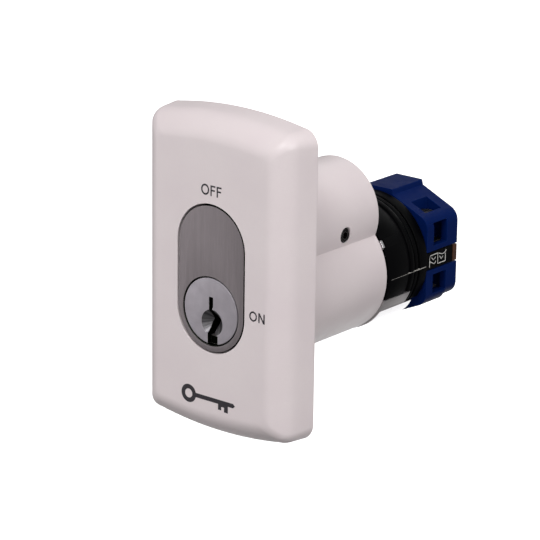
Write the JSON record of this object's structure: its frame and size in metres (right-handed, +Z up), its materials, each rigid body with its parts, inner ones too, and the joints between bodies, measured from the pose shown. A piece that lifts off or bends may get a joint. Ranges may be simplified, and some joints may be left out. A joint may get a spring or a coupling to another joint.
{
  "type": "selector key switch",
  "caption": "Wall-plate selector key switch: oval pin tumbler lock in a two-lobe housing, turning a rotary operator and a screw-terminal contact block.",
  "frame": {"origin": "on the key plug's axis in the plane of the face plate's rear rim, where the wall begins", "axes": "+Y back through the wall along the plug axis, +X to the right of someone facing the plate, +Z up"},
  "size_m": [0.0466, 0.0786, 0.0806],
  "materials": {
    "white_plastic": "satin-gloss moulded",
    "satin_metal": "fine vertical grain",
    "nickel": "satin nickel plated",
    "chrome": "bright plated",
    "steel": "zinc plated",
    "brass": "drawn brass",
    "black_plastic": "satin moulded",
    "blue_plastic": "satin moulded",
    "phenolic_board": "pressed board",
    "red_plastic": "moulded",
    "natural_plastic": "moulded"
  },
  "bodies": {
    "switch_body": {"face_plate": "white_plastic", "housing": "white_plastic", "lock_shell": "satin_metal", "chamber_cover": "satin_metal", "chrome_sleeve": "chrome", "flange_screw_1": "steel", "flange_screw_2": "steel", "flange_screw_3": "steel", "flange_screw_4": "steel", "grub_screw": "steel", "operator_screw": "steel", "pin_spring_1": "steel", "pin_spring_2": "steel", "pin_spring_3": "steel", "pin_spring_4": "steel", "pin_spring_5": "steel", "retaining_ring": "steel", "detent_ball": "steel", "detent_spring": "steel", "block_screw_1": "steel", "block_screw_2": "steel", "clamp_plate_1": "steel", "clamp_plate_2": "steel", "clamp_plate_3": "steel", "clamp_plate_4": "steel", "terminal_screw_1": "steel", "terminal_screw_2": "steel", "terminal_screw_3": "steel", "terminal_screw_4": "steel", "return_spring_upper": "steel", "return_spring_lower": "steel", "fixed_contact_1": "brass", "fixed_contact_2": "brass", "fixed_contact_3": "brass", "fixed_contact_4": "brass", "operator_body": "black_plastic", "operator_collar": "black_plastic", "contact_base": "black_plastic", "upper_cover": "blue_plastic", "lower_cover": "blue_plastic", "rear_insulator": "phenolic_board"},
    "key_plug": {"lock_plug": "nickel", "plug_cap": "steel", "tailpiece": "steel", "rotor_cam": "red_plastic"},
    "upper_plunger": {"plunger_upper": "natural_plastic", "bridge_upper": "brass"},
    "lower_plunger": {"plunger_lower": "natural_plastic", "bridge_lower": "brass"},
    "key_pin_1": {"bottom_pin_1": "brass"},
    "driver_1": {"driver_pin_1": "steel"},
    "key_pin_2": {"bottom_pin_2": "brass"},
    "driver_2": {"driver_pin_2": "steel"},
    "key_pin_3": {"bottom_pin_3": "brass"},
    "driver_3": {"driver_pin_3": "steel"},
    "key_pin_4": {"bottom_pin_4": "brass"},
    "driver_4": {"driver_pin_4": "steel"},
    "key_pin_5": {"bottom_pin_5": "brass"},
    "driver_5": {"driver_pin_5": "steel"}
  },
  "joints": [
    {"name": "key_turn", "type": "hinge", "parent": "switch_body", "child": "key_plug", "pos_m": [0, 0, 0], "axis": [0, 1, 0], "range_deg": [0, 90]},
    {"name": "upper_push", "type": "slide", "parent": "switch_body", "child": "upper_plunger", "axis": [0, 1, 0], "range_m": [0, 0.0025], "deforming": ["return_spring_upper"]},
    {"name": "lower_push", "type": "slide", "parent": "switch_body", "child": "lower_plunger", "axis": [0, 1, 0], "range_m": [0, 0.0025], "deforming": ["return_spring_lower"]},
    {"name": "key_pin_1_drop", "type": "slide", "parent": "key_plug", "child": "key_pin_1", "axis": [0, 0, 1], "range_m": [-0.0012, 0]},
    {"name": "driver_1_lift", "type": "slide", "parent": "switch_body", "child": "driver_1", "axis": [0, 0, 1], "range_m": [0, 0.002], "stiffness_N_per_m": 150, "springref_m": -0.003, "deforming": ["pin_spring_1"]},
    {"name": "key_pin_2_drop", "type": "slide", "parent": "key_plug", "child": "key_pin_2", "axis": [0, 0, 1], "range_m": [-0.0012, 0]},
    {"name": "driver_2_lift", "type": "slide", "parent": "switch_body", "child": "driver_2", "axis": [0, 0, 1], "range_m": [0, 0.002], "stiffness_N_per_m": 150, "springref_m": -0.003, "deforming": ["pin_spring_2"]},
    {"name": "key_pin_3_drop", "type": "slide", "parent": "key_plug", "child": "key_pin_3", "axis": [0, 0, 1], "range_m": [-0.0012, 0]},
    {"name": "driver_3_lift", "type": "slide", "parent": "switch_body", "child": "driver_3", "axis": [0, 0, 1], "range_m": [0, 0.002], "stiffness_N_per_m": 150, "springref_m": -0.003, "deforming": ["pin_spring_3"]},
    {"name": "key_pin_4_drop", "type": "slide", "parent": "key_plug", "child": "key_pin_4", "axis": [0, 0, 1], "range_m": [-0.0012, 0]},
    {"name": "driver_4_lift", "type": "slide", "parent": "switch_body", "child": "driver_4", "axis": [0, 0, 1], "range_m": [0, 0.002], "stiffness_N_per_m": 150, "springref_m": -0.003, "deforming": ["pin_spring_4"]},
    {"name": "key_pin_5_drop", "type": "slide", "parent": "key_plug", "child": "key_pin_5", "axis": [0, 0, 1], "range_m": [-0.0012, 0]},
    {"name": "driver_5_lift", "type": "slide", "parent": "switch_body", "child": "driver_5", "axis": [0, 0, 1], "range_m": [0, 0.002], "stiffness_N_per_m": 150, "springref_m": -0.003, "deforming": ["pin_spring_5"]}
  ],
  "couplings": [
    {"joint": "upper_push", "follows": "key_turn", "m_per_rad": 0.00159},
    {"joint": "lower_push", "follows": "key_turn", "m_per_rad": 0.00159}
  ]
}
